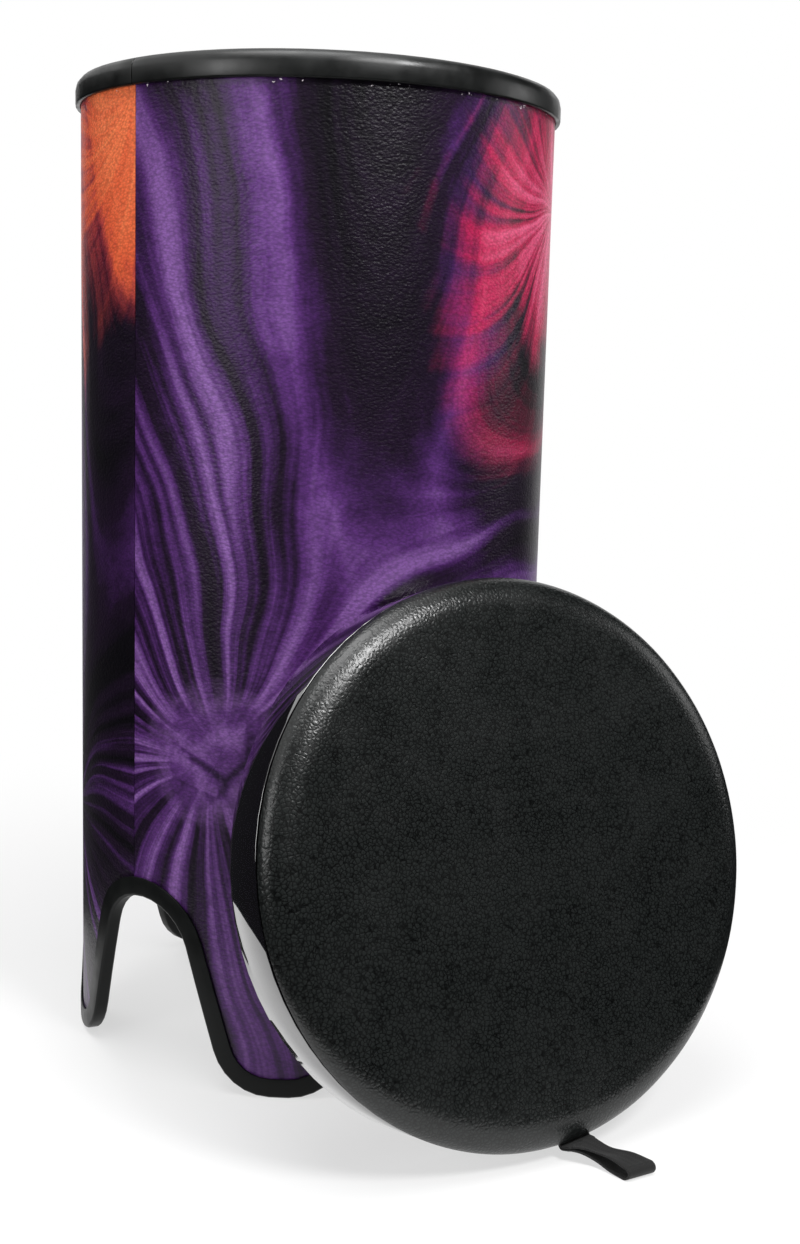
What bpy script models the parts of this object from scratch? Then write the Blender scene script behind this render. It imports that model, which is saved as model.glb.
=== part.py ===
# Tube drum: a tall wrapped shell that stands on five legs, with its pull-off head
# leaning against the front of it. Metres, +Z up.
# The head faces -Y. The origin is on the floor, under the middle of the whole.
# Turns round an axis are measured from -Y towards +X.

import math

import bmesh
import bpy
from mathutils import Matrix, Vector

MM = 0.001
GAP = 0.3 * MM  # between pieces that bear on each other

# Shell
SHELL_RADIUS = 150.0 * MM  # outside of the wrap
SHELL_HEIGHT = 608.0 * MM  # floor to the crown of the rim
TUBE_WALL = 4.6 * MM
WRAP_THICKNESS = 0.8 * MM
SEAM_TURN = math.radians(-71.8)  # upright seam of the wrap and butt joint of the rim
SEAM_GAP = 0.5 * MM

# Legs, drawn on the shell's surface rolled out flat
LEG_COUNT = 5
LEG_TURN = math.radians(183.5)
FOOT_FLAT = 6.0 * MM  # half the flat that the foot stands on
FOOT_RADIUS = 37.0 * MM
ARCH_RADIUS = 35.0 * MM
ARCH_HEIGHT = 113.0 * MM

# Rubber channel on the legs
TRIM_RUBBER = 1.4 * MM
TRIM_FLANGE = 12.0 * MM
TRIM_CORNER = 1.3 * MM

# Rubber channel on the rim
RIM_DEPTH = 16.0 * MM
RIM_CROWN = 7.0 * MM  # height of the rounded part
RIM_WEB = 4.0 * MM  # rubber above the tube's edge
RIM_OUTER_FLANGE = 3.0 * MM
RIM_INNER_FLANGE = 2.5 * MM
RIM_LIP = 0.8 * MM

# Head, drawn upright on its own axis with the band's front edge at height 0
BAND_WALL = 3.2 * MM
EDGE_ROUND = 0.6 * MM  # on the band's two outer edges
LINER_WALL = 3.3 * MM
LINER_SETBACK = 2.0 * MM
FIT_CLEARANCE = 0.3 * MM  # liner to rim trim when the head is on
SEAT_DEPTH = 18.2 * MM  # how far the head goes down over the rim
SEAT_THICKNESS = 4.4 * MM
SEAT_OVERHANG = 2.5 * MM  # ledge inside the rim trim
HOOP_LET_IN = 9.7 * MM  # how far the hoop goes down behind the band
HOOP_LAND = 2.1 * MM  # flat of the hoop inside the rolled edge
BEAD_ROUND = 0.8 * MM
SKIN_THICKNESS = 1.2 * MM
SKIN_RISE = 14.0 * MM  # face of the skin in front of the band's edge
SKIN_PROUD = 0.7 * MM  # skin outside the band
SHOULDER_WIDTH = 20.0 * MM  # of the skin's rolled edge, in from its outside
SHOULDER_HEIGHT = 13.0 * MM  # of the same roll, down from the face

# How the head leans
HEAD_LEAN = math.radians(15.06)  # of its axis above level
HEAD_SIDE = 17.2 * MM  # to the right of the shell's middle

# Webbing pull strap
STRAP_TURN = math.radians(6.7)  # from the lowest point of the head
STRAP_WIDTH = 21.0 * MM
STRAP_PLY = 1.1 * MM
STRAP_ROOM = 0.25 * MM  # on either face where it comes out between band and skin
STRAP_FOLD = 0.45 * MM  # inside radius of its two bends
STRAP_REACH = 8.5 * MM  # held under the skin's shoulder
STRAP_RELIEF = 0.5 * MM  # under the skin
STRAP_HINGE_WIDTH = 18.0 * MM  # where it starts to gather
POCKET_WALL = 1.4 * MM  # of the hoop, behind the strap's ends
LOOP_REACH = 30.0 * MM  # out from under the head
LOOP_SIDE = 15.5 * MM
LOOP_LIFT = 1.2 * MM  # of the upper ply, just after the hinge
LOOP_HEIGHT = 8.4 * MM
LOOP_FOLD_HEIGHT = 6.7 * MM
LOOP_FLOOR_RISE = 0.6 * MM  # of the lower ply before it lies flat
LOOP_GATHER_WIDTH = 14.0 * MM
LOOP_NECK_WIDTH = 12.0 * MM
LOOP_SPREAD_WIDTH = 16.5 * MM
LOOP_END_WIDTH = 19.0 * MM
LOOP_LEVEL_RUN = 12.0 * MM  # over which the plies come level with the floor
TACK_SPREAD = 10.0 * MM
TACK_SHANK = 0.7 * MM
TACK_HEAD = 2.2 * MM
TACK_HEAD_THICKNESS = 0.5 * MM
TACK_LENGTH = 7.0 * MM

# Faces used for round shapes
FOOT_STEPS = 6
FLANK_STEPS = 3
ARCH_STEPS = 6
CROWN_STEPS = 6
RIM_STEPS = 80
HEAD_STEPS = 72
BEND_STEPS = 3
LOOP_STEPS = 3
FOLD_STEPS = 6
LEAN_STEPS = 360  # tries for the point where the head touches the shell

# Sizes that follow
WRAP_INNER = SHELL_RADIUS - WRAP_THICKNESS
TUBE_OUTER = WRAP_INNER - GAP
TUBE_INNER = TUBE_OUTER - TUBE_WALL
TUBE_EDGE = TRIM_RUBBER + GAP  # the tube's lower edge sits this far inside the trim
TUBE_TOP = SHELL_HEIGHT - RIM_WEB - GAP
RIM_OUTER = SHELL_RADIUS + GAP + RIM_OUTER_FLANGE
RIM_INNER = TUBE_INNER - GAP - RIM_INNER_FLANGE
LINER_INNER = RIM_OUTER + FIT_CLEARANCE
LINER_OUTER = LINER_INNER + LINER_WALL
BAND_INNER = LINER_OUTER + GAP
BAND_OUTER = BAND_INNER + BAND_WALL
HOOP_BACK = -HOOP_LET_IN
SEAT_FRONT = HOOP_BACK - GAP
SEAT_BACK = SEAT_FRONT - SEAT_THICKNESS
BAND_DEPTH = SEAT_DEPTH - SEAT_BACK
STRAP_STACK = 2.0 * STRAP_PLY + GAP
BEAD_WIDTH = STRAP_STACK + 2.0 * STRAP_ROOM
SKIN_OUTER = BAND_OUTER + SKIN_PROUD
SKIN_EDGE = BEAD_WIDTH + 2.0 * GAP
STRAP_TAIL = HOOP_LET_IN - POCKET_WALL - GAP  # tucked in behind the band's edge
TACK_SET = 0.5 * STRAP_TAIL


def make_finish(name, colour, roughness, metallic=0.0):
    finish = bpy.data.materials.new(name)
    finish.use_nodes = True
    shader = finish.node_tree.nodes["Principled BSDF"]
    shader.inputs["Base Color"].default_value = (*colour, 1.0)
    shader.inputs["Roughness"].default_value = roughness
    shader.inputs["Metallic"].default_value = metallic
    return finish


def make_empty(name, parent=None, matrix=None):
    empty = bpy.data.objects.new(name, None)
    empty.empty_display_size = 0.03
    bpy.context.scene.collection.objects.link(empty)
    empty.parent = parent
    if matrix is not None:
        empty.matrix_local = matrix
    return empty


def make_object(name, bm, finish, parent):
    bmesh.ops.recalc_face_normals(bm, faces=bm.faces)
    mesh = bpy.data.meshes.new(name)
    bm.to_mesh(mesh)
    bm.free()
    mesh.shade_smooth()
    mesh.set_sharp_from_angle(angle=math.radians(35.0))
    if finish is not None:
        mesh.materials.append(finish)
    node = bpy.data.objects.new(name, mesh)
    bpy.context.scene.collection.objects.link(node)
    node.parent = parent
    return node


def ring_point(radius, turn, height):
    return Vector((radius * math.sin(turn), -radius * math.cos(turn), height))


def loft(name, sections, finish, parent, closed=False):
    # A skin over sections of equal point counts, capped at its ends when it is open.
    bm = bmesh.new()
    rings = [[bm.verts.new(point) for point in section] for section in sections]
    pairs = list(zip(rings, rings[1:]))
    if closed:
        pairs.append((rings[-1], rings[0]))
    for near, far in pairs:
        for i in range(len(near)):
            j = (i + 1) % len(near)
            bm.faces.new((near[i], near[j], far[j], far[i]))
    if not closed:
        bm.faces.new(list(reversed(rings[0])))
        bm.faces.new(rings[-1])
    return make_object(name, bm, finish, parent)


def turn_ring(name, profile, finish, parent, steps=HEAD_STEPS):
    # A closed profile of (radius, height) points spun once round the axis.
    bm = bmesh.new()
    verts = [bm.verts.new(ring_point(radius, 0.0, height)) for radius, height in profile]
    edges = []
    for a, b in zip(verts, verts[1:] + verts[:1]):
        if a.co.y != 0.0 or b.co.y != 0.0:
            edges.append(bm.edges.new((a, b)))
    bmesh.ops.spin(bm, geom=verts + edges, cent=(0, 0, 0), axis=(0, 0, 1),
                   angle=2.0 * math.pi, steps=steps)
    bmesh.ops.remove_doubles(bm, verts=bm.verts, dist=1e-6)
    return make_object(name, bm, finish, parent)


def oval(centre, across, up, start, end, steps):
    # Points on part of an oval in the (radius, height) plane, both ends included.
    points = []
    for i in range(steps + 1):
        angle = start + (end - start) * i / steps
        points.append((centre[0] + across * math.cos(angle), centre[1] + up * math.sin(angle)))
    return points


def arc(centre, radius, start, end, steps):
    return oval(centre, radius, radius, start, end, steps)


def cut(node, cutter):
    cutter.hide_render = True
    cutter.display_type = "WIRE"
    boolean = node.modifiers.new(cutter.name, "BOOLEAN")
    boolean.operation = "DIFFERENCE"
    boolean.solver = "EXACT"
    boolean.object = cutter


def half_leg():
    # From the middle of a foot to the top of an arch: distance round the shell, height,
    # and the angle of the edge. The foot's round, the straight flank and the arch's
    # round meet without a corner.
    half_pitch = math.pi * SHELL_RADIUS / LEG_COUNT
    run = half_pitch - FOOT_FLAT
    rise = ARCH_HEIGHT - ARCH_RADIUS - FOOT_RADIUS
    slope = math.atan2(rise, run) + math.asin((FOOT_RADIUS + ARCH_RADIUS) / math.hypot(run, rise))
    steps = [(0.0, 0.0, 0.0)]
    for i in range(FOOT_STEPS + 1):
        angle = slope * i / FOOT_STEPS
        along = FOOT_FLAT + FOOT_RADIUS * math.sin(angle)
        steps.append((along, FOOT_RADIUS * (1.0 - math.cos(angle)), angle))
    start_along, start_height, _ = steps[-1]
    end_along = half_pitch - ARCH_RADIUS * math.sin(slope)
    end_height = ARCH_HEIGHT - ARCH_RADIUS * (1.0 - math.cos(slope))
    for i in range(1, FLANK_STEPS):
        share = i / FLANK_STEPS
        along = start_along + share * (end_along - start_along)
        steps.append((along, start_height + share * (end_height - start_height), slope))
    for i in range(ARCH_STEPS + 1):
        angle = slope * (1.0 - i / ARCH_STEPS)
        along = half_pitch - ARCH_RADIUS * math.sin(angle)
        steps.append((along, ARCH_HEIGHT - ARCH_RADIUS * (1.0 - math.cos(angle)), angle))
    return steps


def scalloped_edge():
    # Once round the shell from the top of one arch: turn, height, edge angle.
    half = half_leg()
    edge = []
    for leg in range(LEG_COUNT):
        middle = LEG_TURN + leg * 2.0 * math.pi / LEG_COUNT
        for along, height, angle in reversed(half[1:]):
            edge.append((middle - along / SHELL_RADIUS, height, -angle))
        for along, height, angle in half[:-1]:
            edge.append((middle + along / SHELL_RADIUS, height, angle))
    return edge


def inside_edge(step, inset):
    # The same step moved into the wall, square to the edge.
    turn, height, angle = step
    return turn - inset * math.sin(angle) / SHELL_RADIUS, height + inset * math.cos(angle)


def wall_section(outer, inner, turn, bottom):
    return [ring_point(outer, turn, bottom), ring_point(outer, turn, TUBE_TOP),
            ring_point(inner, turn, TUBE_TOP), ring_point(inner, turn, bottom)]


def make_tube(finish, parent):
    sections = []
    for step in scalloped_edge():
        turn, bottom = inside_edge(step, TUBE_EDGE)
        sections.append(wall_section(TUBE_OUTER, TUBE_INNER, turn, bottom))
    loft("shell_tube", sections, finish, parent, closed=True)


def make_wrap(finish, parent):
    # One sheet from seam to seam, cut to the same scallops as the tube.
    full = 2.0 * math.pi
    columns = []
    for step in scalloped_edge():
        turn, bottom = inside_edge(step, TUBE_EDGE)
        columns.append(((turn - SEAM_TURN) % full, bottom))
    columns.sort()
    before, after = columns[-1], columns[0]
    share = (full - before[0]) / (full - before[0] + after[0])
    seam_bottom = before[1] + share * (after[1] - before[1])
    half_gap = 0.5 * SEAM_GAP / SHELL_RADIUS
    inner_columns = [c for c in columns if 2.0 * half_gap < c[0] < full - 2.0 * half_gap]
    columns = [(half_gap, seam_bottom)] + inner_columns + [(full - half_gap, seam_bottom)]
    sections = []
    for turn, bottom in columns:
        sections.append(wall_section(SHELL_RADIUS, WRAP_INNER, SEAM_TURN + turn, bottom))
    loft("wrap_sheet", sections, finish, parent)


def make_leg_trim(finish, parent):
    # A U section carried along the scallops, with a butt joint at the top of one arch.
    outer = SHELL_RADIUS + GAP + TRIM_RUBBER
    inner = TUBE_INNER - GAP - TRIM_RUBBER
    profile = [(outer, TRIM_FLANGE), (outer, TRIM_CORNER), (outer - TRIM_CORNER, 0.0),
               (inner + TRIM_CORNER, 0.0), (inner, TRIM_CORNER), (inner, TRIM_FLANGE),
               (inner + TRIM_RUBBER, TRIM_FLANGE), (inner + TRIM_RUBBER, TRIM_RUBBER),
               (outer - TRIM_RUBBER, TRIM_RUBBER), (outer - TRIM_RUBBER, TRIM_FLANGE)]
    edge = scalloped_edge()
    half_gap = 0.5 * SEAM_GAP / SHELL_RADIUS
    first_turn, top, angle = edge[0]
    edge[0] = (first_turn + half_gap, top, angle)
    edge.append((first_turn + 2.0 * math.pi - half_gap, top, angle))
    sections = []
    for step in edge:
        section = []
        for radius, inset in profile:
            turn, height = inside_edge(step, inset)
            section.append(ring_point(radius, turn, height))
        sections.append(section)
    loft("leg_trim", sections, finish, parent)


def make_rim_trim(finish, parent):
    # A channel with a half-round crown, bent round the rim with a butt joint.
    bottom = SHELL_HEIGHT - RIM_DEPTH
    crown_foot = SHELL_HEIGHT - RIM_CROWN
    middle = 0.5 * (RIM_OUTER + RIM_INNER)
    half_width = 0.5 * (RIM_OUTER - RIM_INNER)
    profile = [(RIM_OUTER - RIM_LIP, bottom), (RIM_OUTER, bottom + RIM_LIP)]
    profile += oval((middle, crown_foot), half_width, RIM_CROWN, 0.0, math.pi, CROWN_STEPS)
    profile += [(RIM_INNER, bottom), (TUBE_INNER - GAP, bottom),
                (TUBE_INNER - GAP, TUBE_TOP + GAP), (SHELL_RADIUS + GAP, TUBE_TOP + GAP),
                (SHELL_RADIUS + GAP, bottom)]
    half_gap = 0.5 * SEAM_GAP / SHELL_RADIUS
    sections = []
    for i in range(RIM_STEPS + 1):
        turn = SEAM_TURN + half_gap + (2.0 * math.pi - 2.0 * half_gap) * i / RIM_STEPS
        sections.append([ring_point(radius, turn, height) for radius, height in profile])
    loft("rim_trim", sections, finish, parent)


def make_band(finish, parent):
    # A plain tube with its two outer edges rounded.
    middle = BAND_OUTER - EDGE_ROUND
    quarter = 0.5 * math.pi
    profile = arc((middle, EDGE_ROUND - BAND_DEPTH), EDGE_ROUND, -quarter, 0.0, 2)
    profile += arc((middle, -EDGE_ROUND), EDGE_ROUND, 0.0, quarter, 2)
    profile += [(BAND_INNER, 0.0), (BAND_INNER, -BAND_DEPTH)]
    turn_ring("head_band", profile, finish, parent)


def shoulder(depth, steps):
    # The rolled edge at a depth under the skin's face, from the skin's rear edge up to
    # where the face is flat. It is wider than it is high.
    centre = (SKIN_OUTER - SHOULDER_WIDTH, SKIN_RISE - SHOULDER_HEIGHT)
    across = SHOULDER_WIDTH - depth
    up = SHOULDER_HEIGHT - depth
    low = math.asin((SKIN_EDGE - centre[1]) / up)
    return oval(centre, across, up, low, 0.5 * math.pi, steps)


def make_skin(finish, parent):
    outer = shoulder(0.0, 7)
    inner = list(reversed(shoulder(SKIN_THICKNESS, 4)))
    profile = [(0.0, SKIN_RISE - SKIN_THICKNESS), *inner, *outer, (0.0, SKIN_RISE)]
    turn_ring("drum_skin", profile, finish, parent)


def make_hoop(finish, parent):
    # Rounded at the front for the skin, and let in behind the band at the back.
    inner = SKIN_OUTER - SHOULDER_WIDTH - HOOP_LAND
    profile = [(LINER_OUTER, HOOP_BACK), (LINER_OUTER, SKIN_EDGE)]
    profile += shoulder(SKIN_THICKNESS + GAP, 4)
    profile += [(inner, profile[-1][1]), (inner, HOOP_BACK)]
    return turn_ring("flesh_hoop", profile, finish, parent)


def make_seat(finish, parent):
    inner = RIM_INNER - SEAT_OVERHANG
    profile = [(LINER_OUTER, SEAT_BACK), (LINER_OUTER, SEAT_FRONT),
               (inner, SEAT_FRONT), (inner, SEAT_BACK)]
    turn_ring("seat_ring", profile, finish, parent)


def make_liner(finish, parent):
    back = LINER_SETBACK - BAND_DEPTH
    front = SEAT_BACK - GAP
    profile = [(LINER_OUTER, back), (LINER_OUTER, front),
               (LINER_INNER, front), (LINER_INNER, back)]
    turn_ring("grip_liner", profile, finish, parent)


def make_bead(finish, parent):
    # Round at its outer side, with its two ends on either side of the strap.
    back = GAP
    front = GAP + BEAD_WIDTH
    root = LINER_OUTER + GAP
    profile = [(root, back), (BAND_OUTER - BEAD_ROUND, back), (BAND_OUTER, back + BEAD_ROUND),
               (BAND_OUTER, front - BEAD_ROUND), (BAND_OUTER - BEAD_ROUND, front), (root, front)]
    half_gap = (0.5 * STRAP_WIDTH + GAP) / root
    sections = []
    for i in range(HEAD_STEPS + 1):
        turn = STRAP_TURN + half_gap + (2.0 * math.pi - 2.0 * half_gap) * i / HEAD_STEPS
        sections.append([ring_point(radius, turn, height) for radius, height in profile])
    loft("edge_bead", sections, finish, parent)


def strip_sections(path, widths, sides, thickness, first, last):
    # Rectangles along a path: a width to each side and half the thickness up and down.
    # The first and last headings are given, so that the ends meet their neighbours squarely.
    sections = []
    for i, point in enumerate(path):
        along = path[min(i + 1, len(path) - 1)] - path[max(i - 1, 0)]
        if i == 0:
            along = first
        if i == len(path) - 1:
            along = last
        up = sides[i].cross(along).normalized() * (0.5 * thickness)
        side = sides[i].normalized() * (0.5 * widths[i])
        sections.append([point - side - up, point + side - up,
                         point + side + up, point - side + up])
    return sections


def make_strap_root(finish, parent):
    # Tucked in behind the band, out through the bead and forward under the skin.
    # Drawn with x across the strap, -y away from the head's axis and z to the front.
    tail_radius = LINER_OUTER - 2.0 * GAP - TACK_HEAD_THICKNESS - 0.5 * STRAP_STACK
    exit_height = 0.5 * SKIN_EDGE
    run_radius = SKIN_OUTER + STRAP_RELIEF + 0.5 * STRAP_STACK
    bend = STRAP_FOLD + 0.5 * STRAP_STACK
    quarter = 0.5 * math.pi
    route = [(tail_radius, -STRAP_TAIL)]
    route += arc((tail_radius + bend, exit_height - bend), bend, math.pi, quarter, BEND_STEPS)
    route += arc((run_radius - bend, exit_height + bend), bend, -quarter, 0.0, BEND_STEPS)
    route.append((run_radius, STRAP_REACH))
    path = [Vector((0.0, -radius, height)) for radius, height in route]
    widths = [STRAP_WIDTH] * (len(path) - 1) + [STRAP_HINGE_WIDTH]
    sides = [Vector((1.0, 0.0, 0.0))] * len(path)
    forward = Vector((0.0, 0.0, 1.0))
    sections = strip_sections(path, widths, sides, STRAP_STACK, forward, forward)
    root = loft("strap_root", sections, finish, parent)
    return root, tail_radius, run_radius


def make_drill(name, x, inner, outer, parent):
    # A cutter for one tack, lying along the head's radius.
    bm = bmesh.new()
    matrix = Matrix.Translation((x, -0.5 * (inner + outer), -TACK_SET))
    matrix = matrix @ Matrix.Rotation(0.5 * math.pi, 4, "X")
    radius = TACK_SHANK + GAP
    bmesh.ops.create_cone(bm, cap_ends=True, segments=12, radius1=radius, radius2=radius,
                          depth=outer - inner, matrix=matrix)
    return make_object(name, bm, None, parent)


def make_tack(name, x, seat_radius, finish, parent):
    # A flat head on a pointed shank, driven towards the head's axis.
    profile = [(0.0, TACK_HEAD_THICKNESS), (TACK_HEAD, TACK_HEAD_THICKNESS), (TACK_HEAD, 0.0),
               (TACK_SHANK, 0.0), (TACK_SHANK, -0.75 * TACK_LENGTH), (0.0, -TACK_LENGTH)]
    tack = turn_ring(name, profile, finish, parent, steps=12)
    tack.location = (x, -seat_radius, -TACK_SET)
    tack.rotation_euler = (0.5 * math.pi, 0.0, 0.0)
    return tack


def make_notch(tail_radius, parent):
    # The pocket in the hoop that takes the strap's two ends and its tacks.
    floor = tail_radius - 0.5 * STRAP_STACK - GAP
    outer = LINER_OUTER + STRAP_STACK
    back = -STRAP_TAIL - GAP
    front = SKIN_EDGE + GAP
    bm = bmesh.new()
    size = Matrix.Diagonal((STRAP_WIDTH + 2.0 * GAP, outer - floor, front - back, 1.0))
    place = Matrix.Translation((0.0, -0.5 * (outer + floor), 0.5 * (front + back)))
    bmesh.ops.create_cube(bm, size=1.0, matrix=place @ size)
    return make_object("strap_notch", bm, None, parent)


def smooth_run(points, steps):
    # A Catmull-Rom run through hand-set points, both ends included.
    padded = [2.0 * points[0] - points[1]] + points + [2.0 * points[-1] - points[-2]]
    run = []
    for i in range(len(points) - 1):
        a, b, c, d = padded[i:i + 4]
        for k in range(steps):
            t = k / steps
            run.append(0.5 * (2.0 * b + (c - a) * t + (2.0 * a - 5.0 * b + 4.0 * c - d) * t ** 2
                              + (3.0 * b - a - 3.0 * c + d) * t ** 3))
    run.append(points[-1])
    return run


def strap_loop_path(start):
    # From the upper ply's start, over the loop, round its fold and back along the floor.
    # Each stop has its share of the loop's reach and of its way to the side, the heights
    # of the upper and the lower ply, and their width.
    floor = 0.5 * STRAP_PLY + GAP
    apart = 0.5 * (STRAP_PLY + GAP)
    stops = [(0.0, 0.0, start.z + apart, start.z - apart, STRAP_HINGE_WIDTH),
             (0.17, 0.16, start.z + LOOP_LIFT, 0.8 * start.z, LOOP_GATHER_WIDTH),
             (0.4, 0.45, start.z, 0.45 * start.z, LOOP_NECK_WIDTH),
             (0.7, 0.77, floor + LOOP_HEIGHT, floor + LOOP_FLOOR_RISE, LOOP_SPREAD_WIDTH),
             (1.0, 1.0, floor + LOOP_FOLD_HEIGHT, floor, LOOP_END_WIDTH)]
    above = []
    below = []
    for forward, sideways, high, low, _ in stops:
        x = start.x + sideways * LOOP_SIDE
        y = start.y - forward * LOOP_REACH
        above.append(Vector((x, y, high)))
        below.append(Vector((x, y, low)))
    upper = smooth_run(above, LOOP_STEPS)
    lower = smooth_run(below, LOOP_STEPS)
    wide = [v.x for v in smooth_run([Vector((stop[-1], 0.0)) for stop in stops], LOOP_STEPS)]
    heading = upper[-1] - upper[-2]
    heading.z = 0.0
    heading.normalize()
    centre = 0.5 * (upper[-1] + lower[-1])
    radius = 0.5 * (upper[-1].z - lower[-1].z)
    fold = []
    for i in range(1, FOLD_STEPS):
        angle = math.pi * i / FOLD_STEPS
        rise = Vector((0.0, 0.0, radius * math.cos(angle)))
        fold.append(centre + heading * radius * math.sin(angle) + rise)
    path = upper + fold + list(reversed(lower))
    widths = wide + [wide[-1]] * len(fold) + list(reversed(wide))
    return path, widths


def make_strap_loop(finish, parent, stand_from_hinge):
    # The loop lies on the floor, so it is drawn there and carried over to its hinge.
    hinge_from_stand = stand_from_hinge.inverted()
    axes = stand_from_hinge.to_3x3()
    start = stand_from_hinge @ Vector((0.0, -0.5 * STRAP_STACK, 0.5 * GAP))
    level = Vector((1.0, 0.0, 0.0))
    across = axes @ level
    forward = axes @ Vector((0.0, 0.0, 1.0))
    path, widths = strap_loop_path(start)
    sides = []
    for point in path:
        share = min(1.0, (start.y - point.y) / LOOP_LEVEL_RUN)
        sides.append(across.lerp(level, share))
    sections = []
    for section in strip_sections(path, widths, sides, STRAP_PLY, forward, -forward):
        sections.append([hinge_from_stand @ point for point in section])
    loft("strap_loop", sections, finish, parent)


def head_matrix():
    # The head's axis is level and faces -Y, then leans back. The rounded rear edge of
    # its band stands on the floor at the bottom and touches the shell at the top.
    lean = HEAD_LEAN
    height = (BAND_DEPTH - EDGE_ROUND) * math.sin(lean) + BAND_OUTER * math.cos(lean)
    reach = SHELL_RADIUS + GAP
    radius = BAND_OUTER - EDGE_ROUND
    forward = 0.0
    for i in range(-LEAN_STEPS, LEAN_STEPS + 1):
        turn = 0.5 * math.pi * i / LEAN_STEPS
        across = HEAD_SIDE + radius * math.sin(turn)
        if abs(across) < reach:
            back = BAND_DEPTH * math.cos(lean) + radius * math.cos(turn) * math.sin(lean)
            forward = max(forward, back + math.sqrt(reach ** 2 - across ** 2))
    place = Matrix.Translation((HEAD_SIDE, -forward, height))
    return place @ Matrix.Rotation(0.5 * math.pi - lean, 4, "X")


def centre_on_floor(stand):
    # The origin goes to the floor under the middle of the finished pieces.
    bpy.context.view_layer.update()
    graph = bpy.context.evaluated_depsgraph_get()
    low = Vector((math.inf,) * 3)
    high = Vector((-math.inf,) * 3)
    for node in bpy.context.scene.objects:
        if node.type == "MESH" and not node.hide_render:
            shape = node.evaluated_get(graph)
            for vertex in shape.data.vertices:
                point = shape.matrix_world @ vertex.co
                low = Vector(map(min, low, point))
                high = Vector(map(max, high, point))
    stand.location = (-0.5 * (low.x + high.x), -0.5 * (low.y + high.y), -low.z)
    bpy.context.view_layer.update()


def build():
    for old in list(bpy.data.objects):
        bpy.data.objects.remove(old)

    tube_board = make_finish("tube_board", (0.03, 0.03, 0.032), 0.6)
    printed_sheet = make_finish("printed_sheet", (0.09, 0.02, 0.16), 0.55)
    rubber = make_finish("rubber", (0.02, 0.022, 0.022), 0.5)
    gloss = make_finish("gloss_black", (0.008, 0.008, 0.009), 0.06)
    leather = make_finish("skin_leather", (0.022, 0.025, 0.025), 0.5)
    bead = make_finish("bead_black", (0.006, 0.006, 0.006), 0.4)
    ply = make_finish("hoop_ply", (0.45, 0.32, 0.2), 0.6)
    foam = make_finish("liner_foam", (0.03, 0.03, 0.03), 0.9)
    webbing = make_finish("webbing", (0.012, 0.012, 0.012), 0.8)
    steel = make_finish("tack_steel", (0.55, 0.55, 0.56), 0.35, 1.0)

    stand = make_empty("stand")
    make_tube(tube_board, stand)
    make_wrap(printed_sheet, stand)
    make_rim_trim(rubber, stand)
    make_leg_trim(rubber, stand)

    leaning = head_matrix()
    head = make_empty("head_pose", stand, leaning)
    make_band(gloss, head)
    make_skin(leather, head)
    hoop = make_hoop(ply, head)
    make_seat(ply, head)
    make_liner(foam, head)
    make_bead(bead, head)

    turned = Matrix.Rotation(STRAP_TURN, 4, "Z")
    seat = make_empty("strap_seat", head, turned)
    root, tail_radius, run_radius = make_strap_root(webbing, seat)
    cut(hoop, make_notch(tail_radius, seat))
    tack_seat = tail_radius + 0.5 * STRAP_STACK + GAP
    for number, side in ((1, -0.5), (2, 0.5)):
        x = side * TACK_SPREAD
        drill = make_drill(f"tack_drill_{number}", x, tack_seat - TACK_LENGTH - GAP,
                           tack_seat, seat)
        cut(root, drill)
        cut(hoop, drill)
        make_tack(f"strap_tack_{number}", x, tack_seat, steel, seat)

    inner_face = run_radius - 0.5 * STRAP_STACK
    hinge_place = Matrix.Translation((0.0, -inner_face, STRAP_REACH + 0.5 * GAP))
    hinge = make_empty("strap_hinge", seat, hinge_place)
    make_strap_loop(webbing, hinge, leaning @ turned @ hinge_place)

    centre_on_floor(stand)


build()
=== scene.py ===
# Tube drum with its pull-off head leaning at the front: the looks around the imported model
import math

import bmesh
import bpy
from mathutils import Matrix, Vector


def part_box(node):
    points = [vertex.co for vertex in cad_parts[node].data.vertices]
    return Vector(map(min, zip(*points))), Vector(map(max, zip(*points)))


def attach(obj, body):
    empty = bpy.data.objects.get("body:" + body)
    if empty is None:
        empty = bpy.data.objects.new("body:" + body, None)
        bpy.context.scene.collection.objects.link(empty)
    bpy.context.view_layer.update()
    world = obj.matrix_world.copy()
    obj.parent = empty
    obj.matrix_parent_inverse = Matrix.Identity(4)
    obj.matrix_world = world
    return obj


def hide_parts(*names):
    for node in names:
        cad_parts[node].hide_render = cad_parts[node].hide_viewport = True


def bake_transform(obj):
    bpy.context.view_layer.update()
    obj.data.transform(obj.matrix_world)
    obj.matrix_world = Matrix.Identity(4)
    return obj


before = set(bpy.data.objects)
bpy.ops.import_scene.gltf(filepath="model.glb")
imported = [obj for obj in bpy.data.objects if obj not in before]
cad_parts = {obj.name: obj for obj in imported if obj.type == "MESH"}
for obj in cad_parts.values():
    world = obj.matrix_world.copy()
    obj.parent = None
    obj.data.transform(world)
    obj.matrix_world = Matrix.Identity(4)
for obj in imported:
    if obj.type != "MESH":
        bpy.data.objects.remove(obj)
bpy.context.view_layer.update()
print("frame loaded:", len(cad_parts), "nodes")


# Helpers for material nodes

def newMaterial(name):
    material = bpy.data.materials.new(name)
    material.use_nodes = True
    return material, material.node_tree, material.node_tree.nodes["Principled BSDF"]


def addNode(tree, kind, **settings):
    node = tree.nodes.new(kind)
    for key, value in settings.items():
        if key.startswith("in_"):
            node.inputs[key[3:].replace("_", " ")].default_value = value
        else:
            setattr(node, key, value)
    return node


def setOrLink(tree, socket, value):
    # A number or a colour is set on the socket, and an output is linked to it
    if isinstance(value, (int, float)):
        socket.default_value = value
    elif isinstance(value, tuple):
        socket.default_value = (*value, 1.0)
    else:
        tree.links.new(value, socket)


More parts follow.
